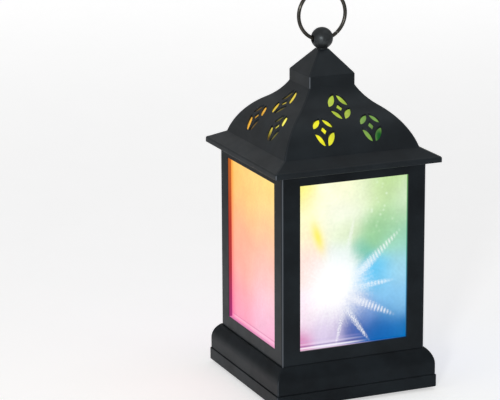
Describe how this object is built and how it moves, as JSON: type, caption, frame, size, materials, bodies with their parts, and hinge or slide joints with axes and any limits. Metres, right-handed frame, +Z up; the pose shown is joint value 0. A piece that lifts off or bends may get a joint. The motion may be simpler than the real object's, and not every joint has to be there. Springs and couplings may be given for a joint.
{
  "type": "ramadan fanous lantern",
  "caption": "Square plastic LED lantern with lit windows, a pierced ogee roof, a ball finial with a swinging ring, and a moulded base with battery door and slide switch.",
  "frame": {"origin": "centre of the base at the level of the feet's undersides", "axes": "+Z up; -Y is the outward normal of the window that shows widest in the picture, -X that of the window on its left"},
  "size_m": [0.1152, 0.1152, 0.2588],
  "materials": {
    "black_plastic": "satin moulded, charcoal black",
    "finial_plastic": "polished",
    "ring_wire": "blackened steel wire",
    "window_pane": "translucent, lit from inside in changing colours",
    "roof_film": "translucent film, lit from inside",
    "screw_steel": "zinc plated",
    "rubber": "matt",
    "battery_jacket": "coated jacket",
    "contact_steel": "nickel plated",
    "lead_red": "insulation",
    "lead_black": "insulation",
    "lead_white": "insulation",
    "board_green": "solder resist",
    "board_white": "solder resist",
    "chip_resin": "cast resin",
    "component_dark": "coated",
    "capacitor_sleeve": "shrink sleeve",
    "switch_steel": "tinned",
    "knob_plastic": "moulded",
    "lamp_white": "moulded, reflecting",
    "led_red": "tinted epoxy",
    "led_yellow": "tinted epoxy",
    "led_green": "tinted epoxy",
    "led_blue": "tinted epoxy",
    "lens_clear": "clear, faceted"
  },
  "bodies": {
    "lantern": {"body_frame": "black_plastic", "pane_front": "window_pane", "pane_right": "window_pane", "pane_back": "window_pane", "pane_left": "window_pane", "roof_shell": "black_plastic", "roof_film_front": "roof_film", "roof_film_right": "roof_film", "roof_film_back": "roof_film", "roof_film_left": "roof_film", "roof_screws": "screw_steel", "finial_ball": "finial_plastic", "finial_screw": "screw_steel", "finial_washer": "screw_steel", "plinth": "black_plastic", "body_screws": "screw_steel", "base_tray": "black_plastic", "tray_screws": "screw_steel", "foot_front_left": "rubber", "foot_front_right": "rubber", "foot_back_left": "rubber", "foot_back_right": "rubber", "battery_1": "battery_jacket", "battery_2": "battery_jacket", "battery_3": "battery_jacket", "contact_positive": "contact_steel", "contact_negative": "contact_steel", "contact_link_left": "contact_steel", "contact_link_right": "contact_steel", "contact_springs": "contact_steel", "battery_lead_red": "lead_red", "battery_lead_black": "lead_black", "circuit_board": "board_green", "board_screws": "screw_steel", "controller_chip": "chip_resin", "board_resistors": "component_dark", "board_capacitor": "capacitor_sleeve", "switch_housing": "switch_steel", "lamp_post": "lamp_white", "lamp_screws": "screw_steel", "lamp_leads": "lead_white", "led_board": "board_white", "led_red": "led_red", "led_yellow": "led_yellow", "led_green": "led_green", "led_blue": "led_blue", "lens_dome": "lens_clear"},
    "ring": {"ring_handle": "ring_wire"},
    "switch": {"switch_knob": "knob_plastic"},
    "door": {"battery_door": "black_plastic"}
  },
  "joints": [
    {"name": "ring_swing", "type": "hinge", "parent": "lantern", "child": "ring", "pos_m": [0, 0, 0.22608], "axis": [1, 0, 0], "range_deg": [-138, 138]},
    {"name": "switch_slide", "type": "slide", "parent": "lantern", "child": "switch", "axis": [-1, 0, 0], "range_m": [0, 0.003]},
    {"name": "battery_door_hinge", "type": "hinge", "parent": "lantern", "child": "door", "pos_m": [0, 0.0409, 0.0036], "axis": [1, 0, 0], "range_deg": [0, 90]}
  ]
}
